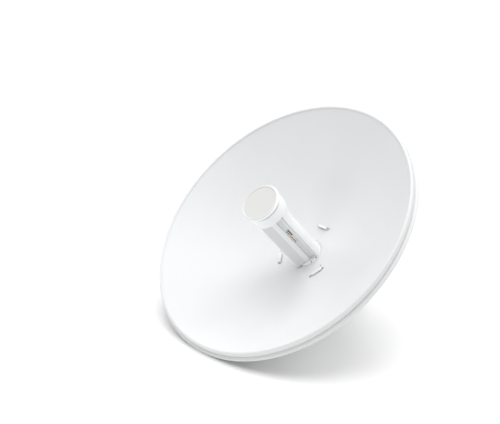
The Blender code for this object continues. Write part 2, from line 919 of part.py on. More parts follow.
def make_pole_bracket():
    width = CHEEK_X[1]
    bracket = block(
        "pole_bracket",
        (-width, BASE_FRONT, -JAW_HALF_HEIGHT),
        (width, BASE_FRONT + BASE_THICK, JAW_HALF_HEIGHT),
        parent="tilt",
    )
    pivot = (PIVOT_Y, PIVOT_Z)
    slot_half = LOCK_BOLT_R + BOLT_CLEAR
    sweep = math.degrees(TILT_LIMIT + slot_half / LOCK_REACH) + 1
    outer = LOCK_REACH + slot_half + 0.003
    outer_sweep = sweep + 8
    outline = [(BASE_FRONT + 0.001, 0.031)]
    outline += arc(pivot, 0.012, 90, 180, 6)
    outline += arc(pivot, outer, -90 - outer_sweep, -90 + outer_sweep, 12)
    outline += [(BASE_FRONT + 0.001, -0.031)]
    for side in (-1, 1):
        cheek = plate(
            f"bracket_cheek_{side}",
            [outline],
            CHEEK_X[1] - CHEEK_X[0],
            (side * (CHEEK_X[0] + CHEEK_X[1]) / 2, 0, 0),
            SIDE_ON,
            parent="tilt",
            group=CUTTERS,
        )
        join(bracket, cheek)
    jaw = [
        (width, BASE_FRONT + 0.001),
        (width, JAW_BACK - 0.004),
        (width - 0.004, JAW_BACK),
        (NOTCH_HALF, JAW_BACK),
        (ON_AXIS, JAW_BACK - NOTCH_DEPTH),
    ]
    jaw += [(-u, v) for u, v in reversed(jaw[:-1])]
    for side in (-1, 1):
        height = side * (JAW_HALF_HEIGHT - JAW_THICK / 2)
        tooth = plate(
            f"bracket_jaw_{side}",
            [jaw],
            JAW_THICK,
            (0, 0, height),
            FLAT,
            parent="tilt",
            group=CUTTERS,
        )
        join(bracket, tooth)
    inner_arc = arc(pivot, LOCK_REACH - slot_half, -90 + sweep, -90 - sweep, 8)
    outer_arc = arc(pivot, LOCK_REACH + slot_half, -90 - sweep, -90 + sweep, 8)
    slot = plate(
        "lock_slot",
        [inner_arc + outer_arc],
        0.090,
        (0, 0, 0),
        SIDE_ON,
        parent="tilt",
        group=CUTTERS,
    )
    pivot_bore = rods(
        "cheek_pivot_bore",
        [(0, *pivot)],
        PIVOT_BOLT_R + BOLT_CLEAR,
        0.090,
        (1, 0, 0),
        parent="tilt",
        group=CUTTERS,
    )
    cut(bracket, slot, pivot_bore)
    for side in (-1, 1):
        middle = side * (POLE_R + GAP + STRAP_THICK / 2)
        strap_slot = block(
            f"strap_slot_{side}",
            (middle - 0.0009, BASE_FRONT - 0.01, -STRAP_WIDTH / 2 - 0.0008),
            (middle + 0.0009, BASE_FRONT + 0.01, STRAP_WIDTH / 2 + 0.0008),
            parent="tilt",
            group=CUTTERS,
        )
        cut(bracket, strap_slot)
    paint(bracket, WHITE, 0.5)


def bolt(name, radius, head_r, head_height, place, parent):
    """A hexagon-headed bolt across the bracket, its head at -X."""
    washer = 0.0014
    head_x = -(CHEEK_X[1] + washer + 2 * GAP + head_height / 2)
    tail_x = CHEEK_X[1] + washer + 2 * GAP + head_height + 0.004
    length = tail_x - head_x
    shank = rods(
        name, [((head_x + tail_x) / 2, *place)], radius, length, (1, 0, 0), sides=24, parent=parent
    )
    head = rods(
        f"{name}_head",
        [(head_x, *place)],
        head_r,
        head_height,
        (1, 0, 0),
        sides=6,
        parent=parent,
        group=CUTTERS,
    )
    join(shank, head)
    paint(shank, STEEL, 0.3, 1.0)


def nut(name, radius, head_r, height, place, parent):
    x = CHEEK_X[1] + 0.0014 + 2 * GAP + height / 2
    body = rods(name, [(x, *place)], head_r, height, (1, 0, 0), sides=6, parent=parent)
    bore = rods(
        f"{name}_bore",
        [(x, *place)],
        radius + GAP,
        height + 0.002,
        (1, 0, 0),
        sides=24,
        parent=parent,
        group=CUTTERS,
    )
    cut(body, bore)
    paint(body, STEEL, 0.3, 1.0)


def washers(name, radius, outer, place, parent):
    x = CHEEK_X[1] + GAP + 0.0007
    bore = rods(
        f"{name}_bore",
        [(0, *place)],
        radius + GAP,
        0.100,
        (1, 0, 0),
        sides=24,
        parent=parent,
        group=CUTTERS,
    )
    for side, end in ((-1, "left"), (1, "right")):
        washer = rods(
            f"{name}_{end}", [(side * x, *place)], outer, 0.0014, (1, 0, 0), sides=24, parent=parent
        )
        cut(washer, bore)
        paint(washer, STEEL, 0.35, 1.0)


def make_bolts():
    pivot = (PIVOT_Y, PIVOT_Z)
    lock = (PIVOT_Y, PIVOT_Z - LOCK_REACH)
    bolt("pivot_bolt", PIVOT_BOLT_R, 0.0072, 0.0053, pivot, "tilt")
    nut("pivot_nut", PIVOT_BOLT_R, 0.0072, 0.0064, pivot, "tilt")
    washers("pivot_washer", PIVOT_BOLT_R, 0.0080, pivot, "tilt")
    bolt("lock_bolt", LOCK_BOLT_R, 0.0056, 0.0040, lock, "lean")
    nut("lock_nut", LOCK_BOLT_R, 0.0056, 0.0050, lock, "lean")
    washers("lock_washer", LOCK_BOLT_R, 0.0062, lock, "lean")


def strap_loop(half, front):
    """The strap's course around the pole and through the bracket's base plate, at a half-width."""
    pole_y = pole_centre()
    corner = 0.0020
    loop = arc((0, pole_y), half, 0, 180, 20)
    loop += arc((-half + corner, front + corner), corner, 180, 270, 4)
    loop += arc((half - corner, front + corner), corner, 270, 360, 4)
    return loop


def pole_centre():
    half_angle = math.atan2(NOTCH_HALF, NOTCH_DEPTH)
    return JAW_BACK - NOTCH_DEPTH + POLE_R / math.sin(half_angle)


def make_strap():
    inner = strap_loop(POLE_R + GAP, BASE_FRONT - 0.0007)
    outer = strap_loop(POLE_R + GAP + STRAP_THICK, BASE_FRONT - 0.0007 - STRAP_THICK)
    strap = plate(
        "pole_strap", [outer, inner], STRAP_WIDTH, (0, 0, 0), FLAT, parent="tilt"
    )
    paint(strap, STEEL, 0.3, 1.0)
    pole_y = pole_centre()
    (low_x, low_z), (high_x, high_z) = WORM_HOUSING
    half = WORM_LENGTH / 2
    housing = block(
        "worm_housing",
        (low_x, pole_y - half, low_z),
        (high_x, pole_y + half, high_z),
        parent="tilt",
        bevel=0.0012,
    )
    bore = rods(
        "worm_bore",
        [(WORM_X, pole_y, 0)],
        WORM_R + GAP,
        WORM_LENGTH + 0.004,
        (0, 1, 0),
        parent="tilt",
        group=CUTTERS,
    )
    cut(housing, bore)
    paint(housing, STEEL, 0.3, 1.0)


def make_worm_screw():
    pole_y = pole_centre()
    half = WORM_LENGTH / 2
    screw = rods(
        "worm_screw",
        [(WORM_X, pole_y, 0)],
        WORM_R,
        WORM_LENGTH + 0.0020,
        (0, 1, 0),
        parent="worm",
    )
    head = rods(
        "worm_head",
        [(WORM_X, pole_y + half + 0.0034, 0)],
        0.0042,
        0.0052,
        (0, 1, 0),
        sides=6,
        parent="worm",
        group=CUTTERS,
    )
    slot = block(
        "worm_head_slot",
        (WORM_X - 0.006, pole_y + half + 0.0046, -0.0006),
        (WORM_X + 0.006, pole_y + half + 0.0080, 0.0006),
        parent="worm",
        group=CUTTERS,
    )
    join(screw, head)
    cut(screw, slot)
    paint(screw, STEEL, 0.25, 1.0)


# ---- the whole object ------------------------------------------------------------------------------


def main():
    clear_scene()
    # The lip at the bottom of the dish and the hem at its top are the ends of the footprint.
    front_edge = -(DISH_R + LIP_R) * math.sin(LEAN) - LIP_R
    back_edge = HEM_TOUCH * math.cos(LEAN) + HEM_R * math.sin(LEAN)
    add_empty("lean", (0, -(front_edge + back_edge) / 2, LIFT), turn=(-LEAN, 0, 0))
    add_empty("feed", (0, 0, 0), parent="lean")
    add_empty("reset", RESET, parent="lean")
    add_empty("door", DOOR_PIN, parent="lean")
    add_empty("tilt", (0, PIVOT_Y, PIVOT_Z), parent="lean")
    add_empty("worm", (WORM_X, pole_centre(), 0), parent="lean")
    make_reflector()
    make_hub_collar()
    make_feed_cap()
    make_cap_seal()
    make_feed_tube()
    make_feed_cover()
    make_light_strip()
    make_feed_inside()
    make_reset_button()
    make_rear_housing()
    make_rear_cover()
    make_gasket()
    for number, (x, _, z) in enumerate(screw_places(COVER_FACE), 1):
        make_cover_screw(number, x, z)
    make_port_door()
    make_cable_grommet()
    make_release_buttons()
    make_pole_bracket()
    make_bolts()
    make_strap()
    make_worm_screw()


main()
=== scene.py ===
"""Looks for the outdoor wireless bridge: a white dish radio resting on its rim and pole bracket.

Pieces are drawn in the dish's own frame, as the CAD is: X across the dish, Y backwards along its axis
from the rim plane, Z up. make_piece() then moves each one into the row frame. Lengths are in metres.
"""

import math

import bmesh
import bpy
from mathutils import Matrix, Vector
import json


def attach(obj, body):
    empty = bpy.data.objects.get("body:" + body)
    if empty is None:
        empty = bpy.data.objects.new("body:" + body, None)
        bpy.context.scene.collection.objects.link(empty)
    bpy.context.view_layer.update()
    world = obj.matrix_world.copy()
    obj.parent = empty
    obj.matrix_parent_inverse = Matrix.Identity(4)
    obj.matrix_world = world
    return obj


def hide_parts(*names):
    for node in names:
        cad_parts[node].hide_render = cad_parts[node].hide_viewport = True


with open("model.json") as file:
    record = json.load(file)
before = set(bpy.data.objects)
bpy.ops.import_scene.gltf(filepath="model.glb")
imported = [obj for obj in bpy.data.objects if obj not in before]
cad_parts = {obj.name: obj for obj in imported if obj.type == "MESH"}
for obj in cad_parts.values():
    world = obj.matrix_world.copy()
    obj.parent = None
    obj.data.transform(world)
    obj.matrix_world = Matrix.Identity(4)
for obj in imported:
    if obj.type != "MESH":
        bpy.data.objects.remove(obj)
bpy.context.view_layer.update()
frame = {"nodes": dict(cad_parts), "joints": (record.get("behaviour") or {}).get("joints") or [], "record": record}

# ---- the dish's frame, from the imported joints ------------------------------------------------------

JOINTS = {joint["name"]: joint for joint in frame["joints"]}
PIVOT = Vector((0, 0.1355, 0.010))  # the tilt bolt, in the dish's frame
BORESIGHT = Vector(JOINTS["feed_release"]["axis"])
LEAN = math.atan2(BORESIGHT.z, -BORESIGHT.y)
TURN = Matrix.Rotation(-LEAN, 4, "X")
CENTRE = Vector(JOINTS["elevation_tilt"]["pos_m"]) - TURN @ PIVOT
TO_ROW = Matrix.Translation(CENTRE) @ TURN

# ---- dimensions ------------------------------------------------------------------------------------

ROUND_STEPS = 192
DISH_STEPS = 288
GAP = 0.0003

DISH_R = 0.201
DISH_DEPTH = 0.078
SHEET = 0.0012
HUB_HOLE_R = 0.0226
LIP_R = 0.0025
SKIRT_R = DISH_R + 2 * LIP_R
HEM_R = 0.210
HEM_BACK = 0.0114
SLOT_R = 0.044
SLOT_SIZE = (0.025, 0.005)
SLOT_ANGLES = (90, -30, -150)

CAP_FRONT = -0.059
CAP_R = 0.0294
CAP_HEIGHT = 0.006
SEAL_THICK = 0.0012
DRUM_R = 0.0278
DRUM_BACK = -0.034
TUBE_R = 0.020
TUBE_WALL = 0.0022
TUBE_BACK = 0.0755
SPIGOT_R = 0.0206
SPIGOT_BACK = 0.108
SHELL_EDGE_Z = 0.002
FLANK_TILT = math.radians(21.5)
FLANK_OUT = 0.01195
LIGHTS_ALONG = (0.004, 0.033)

HUB_HOLE_SHADES = ((0.0361, -0.0094), (0.0352, -0.0250))  # (x, z) of two small black discs in the bowl, painted shade inside two small holes
NOTCH_ANGLES = (-4, -31)  # round the tube's foot

HOUSING_R = 0.0645
HOUSING_BACK_R = 0.0555
HOUSING_BACK = 0.100
HOUSING_STEP = 0.079
HOUSING_CLEAR = 0.0008
WALL = 0.0025
SOCKET_R = 0.0212
GASKET_THICK = 0.0012
COVER_FACE = 0.112
SCREW_CIRCLE_R = 0.040
SCREW_ANGLES = (45, 135, 225, 315)
BUTTON_DEPTHS = (0.0845, 0.0955)
BUTTON_HEIGHT = 0.014
PORT_WIDTH = 0.020
DOOR_PIN = (0.0798, -0.0672)
LOCK_REACH = 0.020
LUG_X = (0.024, 0.030)

# ---- materials -------------------------------------------------------------------------------------


def new_material(name, metallic=0.0, specular=0.5, coat=0.0, coat_roughness=0.1):
    material = bpy.data.materials.new(name)
    material.use_nodes = True
    nodes = material.node_tree.nodes
    shader = nodes["Principled BSDF"]
    shader.inputs["Metallic"].default_value = metallic
    shader.inputs["Specular IOR Level"].default_value = specular
    shader.inputs["Coat Weight"].default_value = coat
    shader.inputs["Coat Roughness"].default_value = coat_roughness
    return material, nodes, material.node_tree.links, shader


def object_coordinates(nodes, links, stretch=(1, 1, 1)):
    """Coordinates that stay on the piece, in metres, stretched along an axis if asked."""
    place = nodes.new("ShaderNodeTexCoord")
    mapping = nodes.new("ShaderNodeMapping")
    mapping.inputs["Scale"].default_value = stretch
    links.new(place.outputs["Object"], mapping.inputs["Vector"])
    return mapping.outputs["Vector"]


def add_noise(nodes, links, vector, scale, detail=2.0, roughness=0.5):
    noise = nodes.new("ShaderNodeTexNoise")
    noise.inputs["Scale"].default_value = scale
    noise.inputs["Detail"].default_value = detail
    noise.inputs["Roughness"].default_value = roughness
    links.new(vector, noise.inputs["Vector"])
    return noise.outputs["Fac"]


def remap(nodes, links, value, low, high, start=0.3, end=0.7):
    """Spreads a noise value over a range."""
    spread = nodes.new("ShaderNodeMapRange")
    spread.inputs["From Min"].default_value = start
    spread.inputs["From Max"].default_value = end
    spread.inputs["To Min"].default_value = low
    spread.inputs["To Max"].default_value = high
    links.new(value, spread.inputs["Value"])
    return spread.outputs["Result"]


def blend_colours(nodes, links, share, first, second):
    mix = nodes.new("ShaderNodeMix")
    mix.data_type = "RGBA"
    links.new(share, mix.inputs["Factor"])
    for socket, value in ((mix.inputs[6], first), (mix.inputs[7], second)):
        if isinstance(value, tuple):
            socket.default_value = (*value, 1.0)
        else:
            links.new(value, socket)
    return mix.outputs[2]


def add_bump(nodes, links, height, strength, distance, under=None):
    bump = nodes.new("ShaderNodeBump")
    bump.inputs["Strength"].default_value = strength
    bump.inputs["Distance"].default_value = distance
    links.new(height, bump.inputs["Height"])
    if under is not None:
        links.new(under, bump.inputs["Normal"])
    return bump.outputs["Normal"]


def powder_coat():
    """Baked powder coat: an even white with a faint orange peel and barely uneven gloss."""
    material, nodes, links, shader = new_material("powder_coat", specular=0.42, coat=0.06, coat_roughness=0.3)
    vector = object_coordinates(nodes, links)
    cloud = add_noise(nodes, links, vector, 9, 3)
    speck = add_noise(nodes, links, vector, 2600, 1)
    clouded = remap(nodes, links, cloud, 0, 1)
    base = blend_colours(nodes, links, clouded, (0.705, 0.712, 0.718), (0.728, 0.733, 0.738))
    specked = remap(nodes, links, speck, 0, 0.22, 0.62, 0.75)
    shade = blend_colours(nodes, links, specked, base, (0.625, 0.63, 0.635))
    links.new(shade, shader.inputs["Base Color"])
    links.new(remap(nodes, links, cloud, 0.44, 0.52), shader.inputs["Roughness"])
    peel = add_noise(nodes, links, vector, 780, 2, 0.45)
    grain = add_noise(nodes, links, vector, 3000, 1)
    normal = add_bump(nodes, links, peel, 0.16, 0.00012)
    links.new(add_bump(nodes, links, grain, 0.12, 0.00004, normal), shader.inputs["Normal"])
    return material


def moulded_plastic(name, first, second, roughness, grain=0.25, grain_scale=2200, coat=0.0):
    """Moulded plastic: a spark-eroded grain, faint flow clouds and slightly uneven gloss."""
    material, nodes, links, shader = new_material(name, specular=0.45, coat=coat, coat_roughness=0.25)
    vector = object_coordinates(nodes, links)
    cloud = add_noise(nodes, links, vector, 22, 3)
    colour = blend_colours(nodes, links, remap(nodes, links, cloud, 0, 1), first, second)
    links.new(colour, shader.inputs["Base Color"])
    fine = add_noise(nodes, links, vector, grain_scale, 2, 0.6)
    links.new(remap(nodes, links, fine, roughness - 0.04, roughness + 0.05), shader.inputs["Roughness"])
    wave = add_noise(nodes, links, vector, 120, 1)
    normal = add_bump(nodes, links, wave, 0.05, 0.0002)
    links.new(add_bump(nodes, links, fine, grain, 0.00006, normal), shader.inputs["Normal"])
    return material


def metal(name, first, second, roughness, stretch=(1, 1, 1), scale=900, spangle=0.0):
    """Plated or brushed metal: fine lines along one direction and a patchy bright film."""
    material, nodes, links, shader = new_material(name, metallic=1.0)
    vector = object_coordinates(nodes, links, stretch)
    plain = object_coordinates(nodes, links)
    lines = add_noise(nodes, links, vector, scale, 3, 0.6)
    patch = add_noise(nodes, links, plain, 140, 3)
    colour = blend_colours(nodes, links, remap(nodes, links, patch, 0, 1), first, second)
    links.new(colour, shader.inputs["Base Color"])
    links.new(remap(nodes, links, lines, roughness - 0.08, roughness + 0.1), shader.inputs["Roughness"])
    normal = add_bump(nodes, links, lines, 0.16, 0.00004)
    links.new(add_bump(nodes, links, patch, spangle, 0.0002, normal), shader.inputs["Normal"])
    return material


def rubber():
    material, nodes, links, shader = new_material("black_rubber", specular=0.3)
    vector = object_coordinates(nodes, links)
    bloom = add_noise(nodes, links, vector, 260, 4)
    bloomed = remap(nodes, links, bloom, 0, 1)
    colour = blend_colours(nodes, links, bloomed, (0.030, 0.030, 0.032), (0.060, 0.060, 0.064))
    links.new(colour, shader.inputs["Base Color"])
    links.new(remap(nodes, links, bloom, 0.66, 0.82), shader.inputs["Roughness"])
    links.new(add_bump(nodes, links, bloom, 0.3, 0.0001), shader.inputs["Normal"])
    return material


def circuit_board():
    """Green solder mask with faint copper runs under it."""
    material, nodes, links, shader = new_material("circuit_board", specular=0.5, coat=0.3)
    vector = object_coordinates(nodes, links)
    runs = nodes.new("ShaderNodeTexBrick")
    runs.inputs["Scale"].default_value = 160
    runs.inputs["Mortar Size"].default_value = 0.06
    runs.inputs["Color1"].default_value = (0.012, 0.11, 0.045, 1)
    runs.inputs["Color2"].default_value = (0.016, 0.13, 0.055, 1)
    runs.inputs["Mortar"].default_value = (0.05, 0.24, 0.09, 1)
    links.new(vector, runs.inputs["Vector"])
    cloud = add_noise(nodes, links, vector, 60, 2)
    clouded = remap(nodes, links, cloud, 0, 0.3)
    shade = blend_colours(nodes, links, clouded, runs.outputs["Color"], (0.01, 0.07, 0.03))
    links.new(shade, shader.inputs["Base Color"])
    links.new(remap(nodes, links, cloud, 0.3, 0.42), shader.inputs["Roughness"])
    links.new(add_bump(nodes, links, runs.outputs["Fac"], 0.2, 0.0001), shader.inputs["Normal"])
    return material


def light_window(name, colour, glow):
    """A small coloured light behind a clear window, brighter in its middle grain."""
    material, nodes, links, shader = new_material(name, specular=0.6, coat=0.5, coat_roughness=0.08)
    vector = object_coordinates(nodes, links)
    grain = add_noise(nodes, links, vector, 1500, 2)
    darker = tuple(0.55 * c for c in colour)
    shade = blend_colours(nodes, links, remap(nodes, links, grain, 0, 1), darker, colour)
    links.new(shade, shader.inputs["Base Color"])
    links.new(shade, shader.inputs["Emission Color"])
    shader.inputs["Emission Strength"].default_value = glow
    links.new(remap(nodes, links, grain, 0.22, 0.34), shader.inputs["Roughness"])
    return material


MATERIALS = {
    "dish_paint": powder_coat(),
    "feed_plastic": moulded_plastic(
        "feed_plastic", (0.88, 0.888, 0.892), (0.90, 0.905, 0.91), 0.34, 0.12, 1600, coat=0.15
    ),
    "cover_plastic": moulded_plastic("cover_plastic", (0.73, 0.74, 0.748), (0.76, 0.77, 0.776), 0.42, 0.2),
    # The next plastic is a lighter copy of cover_plastic, a painted highlight on the cover's raised flank bands.
    "cover_band_painted_highlight": moulded_plastic("cover_band_painted_highlight", (0.86, 0.868, 0.872), (0.885, 0.89, 0.892), 0.36, 0.1),
    "cap_plastic": moulded_plastic("cap_plastic", (0.625, 0.625, 0.618), (0.65, 0.65, 0.643), 0.46, 0.3),
    # The next plastic is a lighter copy of cap_plastic, a painted highlight on the cap's bead.
    "cap_bead_painted_highlight": moulded_plastic("cap_bead_painted_highlight", (0.72, 0.72, 0.712), (0.745, 0.745, 0.737), 0.4, 0.2),
    "housing_plastic": moulded_plastic("housing_plastic", (0.78, 0.785, 0.79), (0.81, 0.815, 0.82), 0.5, 0.4),
    "bracket_plastic": moulded_plastic(
        "bracket_plastic", (0.74, 0.745, 0.75), (0.78, 0.785, 0.79), 0.55, 0.6, 1500
    ),
    "grey_plastic": moulded_plastic("grey_plastic", (0.36, 0.38, 0.40), (0.41, 0.43, 0.45), 0.5, 0.4),
    "black_plastic": moulded_plastic(
        "black_plastic", (0.020, 0.020, 0.022), (0.032, 0.032, 0.035), 0.45, 0.4
    ),
    "light_lens": moulded_plastic(
        "light_lens", (0.60, 0.64, 0.62), (0.68, 0.71, 0.69), 0.22, 0.05, 900, coat=0.4
    ),
    "seal_rubber": rubber(),
    "circuit_board": circuit_board(),
    "feed_metal": metal("feed_metal", (0.66, 0.67, 0.69), (0.78, 0.79, 0.80), 0.34, (1, 0.05, 1)),
    "bright_steel": metal(
        "zinc_plate", (0.56, 0.575, 0.60), (0.70, 0.70, 0.70), 0.33, (1, 1, 0.2), 700, 0.12
    ),
    "strap_steel": metal("strap_steel", (0.60, 0.61, 0.62), (0.70, 0.70, 0.71), 0.30, (0.04, 1, 1), 1400),
    "light_green": light_window("light_green", (0.03, 0.42, 0.06), 0.25),
    "light_orange": light_window("light_orange", (0.85, 0.30, 0.06), 0.3),
    "light_red": light_window("light_red", (0.75, 0.06, 0.04), 0.3),
    # Black for the printed mark by the lights, and painted shade in the bowl's two holes and the tube's two
    # notches.
    "print_ink_and_painted_shade": moulded_plastic("print_ink_and_painted_shade", (0.015, 0.015, 0.016), (0.03, 0.03, 0.032), 0.5, 0.1),
    "mark_grey": moulded_plastic("mark_grey", (0.30, 0.36, 0.31), (0.42, 0.47, 0.42), 0.5, 0.1),
}

# ---- making pieces ---------------------------------------------------------------------------------


def mesh_from(name, build):
    mesh = bpy.data.meshes.new(name)
    work = bmesh.new()
    build(work)
    work.to_mesh(mesh)
    work.free()
    return mesh


def add_shape(name, mesh, where=(0, 0, 0), turn=None):
    """A construction object in the dish's frame. It isn't shown until make_piece() finishes it."""
    shape = bpy.data.objects.new(name, mesh)
    bpy.context.scene.collection.objects.link(shape)
    shape.matrix_world = Matrix.Translation(Vector(where)) @ (turn or Matrix())
    shape.hide_render = True
    return shape


def fillet(profile, radius, closed=True, steps=4):
    """Rounds each corner of an outline with an arc, smaller where its sides are short."""
    rounded = []
    count = len(profile)
    for i, point in enumerate(profile):
        if not closed and i in (0, count - 1):
            rounded.append(point)
            continue
        corner = Vector(point)
        before = Vector(profile[i - 1]) - corner
        after = Vector(profile[(i + 1) % count]) - corner
        reach = min(radius, 0.45 * before.length, 0.45 * after.length)
        bend = before.angle(after, 0)
        if reach < 0.00002 or bend > math.radians(172):
            rounded.append(point)
            continue
        start = corner + before.normalized() * reach
        end = corner + after.normalized() * reach
        for step in range(steps + 1):
            t = step / steps
            spot = (1 - t) ** 2 * start + 2 * t * (1 - t) * corner + t**2 * end
            rounded.append((spot.x, spot.y))
    return rounded


def turned(name, profile, steps=ROUND_STEPS, closed=True):
    """A profile of (radius, depth) points turned about the dish's axis."""
    area = sum(a[0] * b[1] - b[0] * a[1] for a, b in zip(profile, profile[1:] + profile[:1]))
    points = profile if area > 0 else profile[::-1]

    def build(work):
        ring = [work.verts.new((radius, 0, -depth)) for radius, depth in points]
        for a, b in zip(ring, ring[1:]):
            work.edges.new((a, b))
        if closed:
            work.edges.new((ring[-1], ring[0]))

    shape = add_shape(name, mesh_from(name, build), turn=Matrix.Rotation(math.pi / 2, 4, "X"))
    screw = shape.modifiers.new("turn", "SCREW")
    screw.axis = "Z"
    screw.steps = steps
    screw.render_steps = steps
    screw.use_merge_vertices = True
    screw.merge_threshold = 0.000005
    return shape


def block(name, low, high):
    low, high = Vector(low), Vector(high)

    def build(work):
        bmesh.ops.create_cube(work, size=1.0, matrix=Matrix.Diagonal((*(high - low), 1.0)))

    return add_shape(name, mesh_from(name, build), (low + high) / 2)


def rods(name, places, radius, length, direction, sides=48):
    turn = Vector((0, 0, 1)).rotation_difference(Vector(direction)).to_matrix().to_4x4()

    def build(work):
        for place in places:
            bmesh.ops.create_cone(
                work,
                cap_ends=True,
                segments=sides,
                radius1=radius,
                radius2=radius,
                depth=length,
                matrix=Matrix.Translation(Vector(place)) @ turn,
            )

    return add_shape(name, mesh_from(name, build))


# How an outline drawn in XY is stood in the dish's frame.
ACROSS_AXIS = Matrix.Rotation(math.pi / 2, 4, "X")  # drawn as (X, Z), thickness along Y
SIDE_ON = Matrix.Rotation(math.pi / 2, 4, "Z") @ Matrix.Rotation(math.pi / 2, 4, "X")  # (Y, Z), along X
FLAT = Matrix()  # drawn as (X, Y), thickness along Z


def plate(name, outlines, thickness, where, turn):
    """Flat outlines, the first one outside and the others holes, given a thickness about their plane."""
    curve = bpy.data.curves.new(name, "CURVE")
    curve.dimensions = "2D"
    curve.fill_mode = "BOTH"
    curve.extrude = thickness / 2
    for outline in outlines:
        spline = curve.splines.new("POLY")
        spline.points.add(len(outline) - 1)
        for point, (u, v) in zip(spline.points, outline):
            point.co = (u, v, 0, 1)
        spline.use_cyclic_u = True
    guide = bpy.data.objects.new(name, curve)
    bpy.context.scene.collection.objects.link(guide)
    bpy.context.view_layer.update()
    mesh = bpy.data.meshes.new_from_object(guide.evaluated_get(bpy.context.evaluated_depsgraph_get()))
    bpy.data.objects.remove(guide, do_unlink=True)
    work = bmesh.new()
    work.from_mesh(mesh)
    bmesh.ops.remove_doubles(work, verts=work.verts, dist=0.000001)
    bmesh.ops.recalc_face_normals(work, faces=work.faces)
    work.to_mesh(mesh)
    work.free()
    return add_shape(name, mesh, where, turn)


def combine(shape, others, operation):
    for other in others:
        boolean = shape.modifiers.new(other.name, "BOOLEAN")
        boolean.operation = operation
        boolean.solver = "EXACT"
        boolean.object = other


def cut(shape, *cutters):
    combine(shape, cutters, "DIFFERENCE")


def join(shape, *others):
    combine(shape, others, "UNION")


def soften(shape, width, segments=3, angle=40):
    bevel = shape.modifiers.new("edges", "BEVEL")
    bevel.width = width
    bevel.segments = segments
    bevel.limit_method = "ANGLE"
    bevel.angle_limit = math.radians(angle)
    bevel.harden_normals = False
    bevel.miter_outer = "MITER_ARC"


def make_piece(name, shape, slot, body, nodes=(), sharp=32):
    bpy.context.view_layer.update()
    evaluated = shape.evaluated_get(bpy.context.evaluated_depsgraph_get())
    mesh = bpy.data.meshes.new_from_object(evaluated)
    mesh.transform(TO_ROW @ shape.matrix_world)
    mesh.materials.clear()
    mesh.materials.append(MATERIALS[slot])
    mesh.shade_smooth()
    mesh.set_sharp_from_angle(angle=math.radians(sharp))
    piece = bpy.data.objects.new(name, mesh)
    bpy.context.scene.collection.objects.link(piece)
    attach(piece, body)
    if nodes:
        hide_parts(*nodes)
    return piece


def arc(centre, radius, start, end, steps):
    angles = [math.radians(start + (end - start) * i / steps) for i in range(steps + 1)]
    return [(centre[0] + radius * math.cos(a), centre[1] + radius * math.sin(a)) for a in angles]


def set_about_axis(shape, radius, angle):
    """Moves a shape drawn at the axis out to a radius, its own Z pointing outwards."""
    turn = Matrix.Rotation(math.radians(90 - angle), 4, "Y")
    shape.matrix_world = turn @ Matrix.Translation((0, 0, radius)) @ shape.matrix_world


# ---- the dish --------------------------------------------------------------------------------------


def bowl_depth(radius):
    return DISH_DEPTH * (1 - (radius / DISH_R) ** 2)


def bowl_back(radius):
    slope = 2 * DISH_DEPTH * radius / DISH_R**2
    length = math.hypot(1, slope)
    return (radius + SHEET * slope / length, bowl_depth(radius) + SHEET / length)


def stadium(length, width, steps=10):
    """A slot's outline, with round ends."""
    half = (length - width) / 2
    return arc((half, 0), width / 2, -90, 90, steps) + arc((-half, 0), width / 2, 90, 270, steps)


def make_reflector():
    steps = 44
    radii = [HUB_HOLE_R + (DISH_R - HUB_HOLE_R) * i / steps for i in range(steps + 1)]
    front = [(r, bowl_depth(r)) for r in radii]
    back = [(HUB_HOLE_R, bowl_depth(HUB_HOLE_R) + SHEET)] + [bowl_back(r) for r in radii[1:]]
    middle = DISH_R + LIP_R
    lip = [(middle - u, -v) for u, v in arc((0, 0), LIP_R, 0, 180, 14)][1:]
    hem = [
        (SKIRT_R, 0.0046),
        (SKIRT_R - 0.0012, 0.0052),
        (SKIRT_R - 0.0012, 0.0062),
        (SKIRT_R + 0.0012, 0.0066),
        (HEM_R - 0.0008, 0.0077),
        (HEM_R, 0.0090),
        (HEM_R, HEM_BACK - 0.0008),
        (HEM_R - 0.0012, HEM_BACK),
        (SKIRT_R + 0.0014, HEM_BACK),
        (SKIRT_R - SHEET - 0.0012, 0.0074),
    ]
    hem = fillet([lip[-1]] + hem + [(SKIRT_R - SHEET, 0.0010)], 0.0007, closed=False, steps=4)[1:-1]
    inside_lip = [(middle - u, -v) for u, v in arc((0, 0), LIP_R - SHEET, 180, 40, 8)]
    dish = turned("dish_shape", front + lip + hem + inside_lip + back[::-1], DISH_STEPS)
    for number, angle in enumerate(SLOT_ANGLES):
        slot = plate(f"slot_{number}", [stadium(*SLOT_SIZE)], 0.040, (0, DISH_DEPTH, 0), ACROSS_AXIS)
        set_about_axis(slot, SLOT_R, angle)
        cut(dish, slot)
    make_piece("dish_reflector", dish, "dish_paint", "dish", ["reflector"], sharp=40)
    # Small black discs flush on the bowl paint the shade inside two small holes.
    for number, (x, z) in enumerate(HUB_HOLE_SHADES, 1):
        spot = (x, bowl_depth(math.hypot(x, z)), z)
        mark = rods(f"mark_{number}", [spot], 0.0008, 0.0006, (0, 1, 0))
        make_piece(f"hub_hole_shade_{number}", mark, "print_ink_and_painted_shade", "dish")


# ---- the feed --------------------------------------------------------------------------------------


